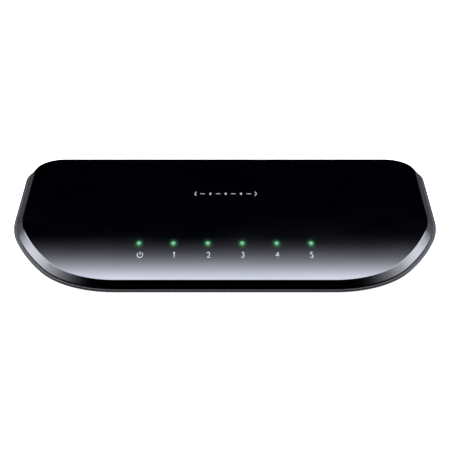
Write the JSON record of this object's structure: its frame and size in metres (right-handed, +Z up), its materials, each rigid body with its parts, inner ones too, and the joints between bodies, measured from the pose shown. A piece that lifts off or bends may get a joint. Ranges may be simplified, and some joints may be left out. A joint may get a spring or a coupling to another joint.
{
  "type": "desktop network switch",
  "caption": "Wedge-shaped desktop network switch: sloping gloss-black cover with green lamps on a matte tray, network sockets and a power inlet at the rear.",
  "frame": {"origin": "centre of the bounding box's bottom face, on the surface the feet stand on", "axes": "+X to the right seen from the front, +Y towards the rear sockets, +Z up"},
  "size_m": [0.165, 0.108, 0.028],
  "materials": {
    "cover_gloss": "glossy black",
    "case_matte": "fine-textured matte black",
    "foot_rubber": "matte",
    "screw_steel": "black-zinc plated",
    "label_film": "satin film",
    "board_laminate": "green solder mask",
    "chip_moulding": "matte moulded",
    "tin_plate": "tin plated",
    "sink_metal": "natural anodised",
    "pad_silicone": "soft, matte",
    "socket_moulding": "satin moulded",
    "contact_gold": "gold plated",
    "nickel_plate": "bright nickel",
    "pipe_clear": "clear, lit green from below",
    "lamp_body": "lit green",
    "can_metal": "bare can",
    "sleeve_dark": "shrink sleeve",
    "ferrite_grey": "matte ferrite",
    "disc_blue": "glossy coated",
    "fuse_yellow": "matte",
    "resistor_ceramic": "matte",
    "capacitor_ceramic": "matte"
  },
  "bodies": {
    "chassis": {"base_tray": "case_matte", "board_screws": "screw_steel", "case_screws": "screw_steel", "ceramic_capacitors": "capacitor_ceramic", "chip_resistors": "resistor_ceramic", "circuit_board": "board_laminate", "config_memory": "chip_moulding", "heat_sink": "sink_metal", "input_capacitor": "sleeve_dark", "input_diode": "chip_moulding", "input_fuse": "fuse_yellow", "isolation_capacitor": "disc_blue", "lamp_1": "lamp_body", "lamp_2": "lamp_body", "lamp_3": "lamp_body", "lamp_4": "lamp_body", "lamp_5": "lamp_body", "lamp_power": "lamp_body", "light_pipe_1": "pipe_clear", "light_pipe_2": "pipe_clear", "light_pipe_3": "pipe_clear", "light_pipe_4": "pipe_clear", "light_pipe_5": "pipe_clear", "light_pipe_power": "pipe_clear", "output_capacitors": "can_metal", "port_1_socket": "socket_moulding", "port_2_socket": "socket_moulding", "port_3_socket": "socket_moulding", "port_4_socket": "socket_moulding", "port_5_socket": "socket_moulding", "port_solder_tails": "tin_plate", "power_inductor_1": "ferrite_grey", "power_inductor_2": "ferrite_grey", "power_inlet_body": "socket_moulding", "power_inlet_pin": "nickel_plate", "power_inlet_terminals": "tin_plate", "rating_label": "label_film", "regulator_chips": "chip_moulding", "rubber_foot_front_left": "foot_rubber", "rubber_foot_front_right": "foot_rubber", "rubber_foot_rear_left": "foot_rubber", "rubber_foot_rear_right": "foot_rubber", "switch_chip": "chip_moulding", "switch_chip_leads": "tin_plate", "thermal_pad": "pad_silicone", "timing_crystal": "tin_plate", "top_cover": "cover_gloss", "transformer_1": "chip_moulding", "transformer_2": "chip_moulding", "transformer_3": "chip_moulding", "transformer_4": "chip_moulding", "transformer_5": "chip_moulding", "transformer_leads": "tin_plate"},
    "contact_set_1": {"port_1_contacts": "contact_gold"},
    "contact_set_2": {"port_2_contacts": "contact_gold"},
    "contact_set_3": {"port_3_contacts": "contact_gold"},
    "contact_set_4": {"port_4_contacts": "contact_gold"},
    "contact_set_5": {"port_5_contacts": "contact_gold"},
    "inlet_leaf": {"power_inlet_leaf": "nickel_plate"}
  },
  "joints": [
    {"name": "port_1_contacts_press", "type": "hinge", "parent": "chassis", "child": "contact_set_1", "pos_m": [-0.0446, 0.0486, 0.01885], "axis": [-1, 0, 0], "range_deg": [0, 12], "stiffness_Nm_per_rad": 0.4},
    {"name": "port_2_contacts_press", "type": "hinge", "parent": "chassis", "child": "contact_set_2", "pos_m": [-0.0268, 0.0486, 0.01885], "axis": [-1, 0, 0], "range_deg": [0, 12], "stiffness_Nm_per_rad": 0.4},
    {"name": "port_3_contacts_press", "type": "hinge", "parent": "chassis", "child": "contact_set_3", "pos_m": [-0.009, 0.0486, 0.01885], "axis": [-1, 0, 0], "range_deg": [0, 12], "stiffness_Nm_per_rad": 0.4},
    {"name": "port_4_contacts_press", "type": "hinge", "parent": "chassis", "child": "contact_set_4", "pos_m": [0.0088, 0.0486, 0.01885], "axis": [-1, 0, 0], "range_deg": [0, 12], "stiffness_Nm_per_rad": 0.4},
    {"name": "port_5_contacts_press", "type": "hinge", "parent": "chassis", "child": "contact_set_5", "pos_m": [0.0266, 0.0486, 0.01885], "axis": [-1, 0, 0], "range_deg": [0, 12], "stiffness_Nm_per_rad": 0.4},
    {"name": "power_inlet_leaf_press", "type": "hinge", "parent": "chassis", "child": "inlet_leaf", "pos_m": [0.0515, 0.04, 0.0098], "axis": [-1, 0, 0], "range_deg": [0, 5], "stiffness_Nm_per_rad": 0.4}
  ]
}
